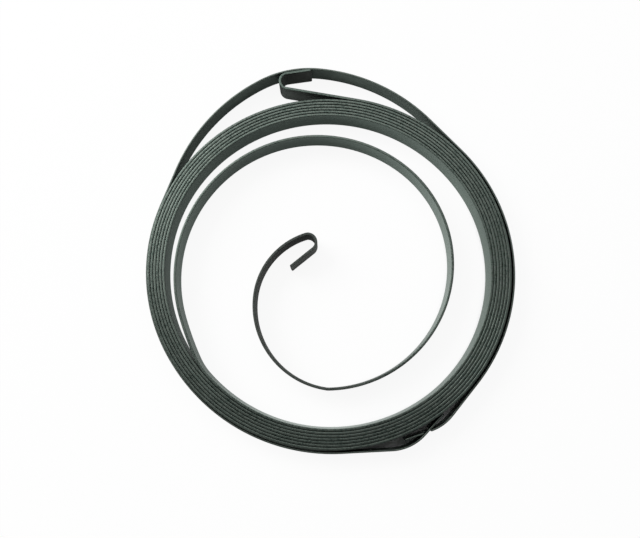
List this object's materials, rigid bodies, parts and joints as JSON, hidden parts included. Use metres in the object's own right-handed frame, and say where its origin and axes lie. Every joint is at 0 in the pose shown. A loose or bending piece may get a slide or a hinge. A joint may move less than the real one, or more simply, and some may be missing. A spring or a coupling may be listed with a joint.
{
  "type": "recoil starter spring",
  "caption": "Flat spiral spring of blued strip steel with a hook at each end, held wound by a thin retaining band whose slit ends hook through each other, for the recoil starter of a small engine.",
  "frame": {"origin": "coil axis, at the plane of the strip's lower edges, on which the part lies", "axes": "+Z along the coil axis, up from the lower edges; +X and +Y in the plan, with the outer hook on the +Y side"},
  "size_m": [0.0705, 0.0747, 0.0058],
  "materials": {
    "spring_steel": "blued, satin",
    "band_steel": "blued, satin, darker"
  },
  "bodies": {
    "root": {"spring": "spring_steel", "retaining_band": "band_steel"}
  },
  "joints": []
}
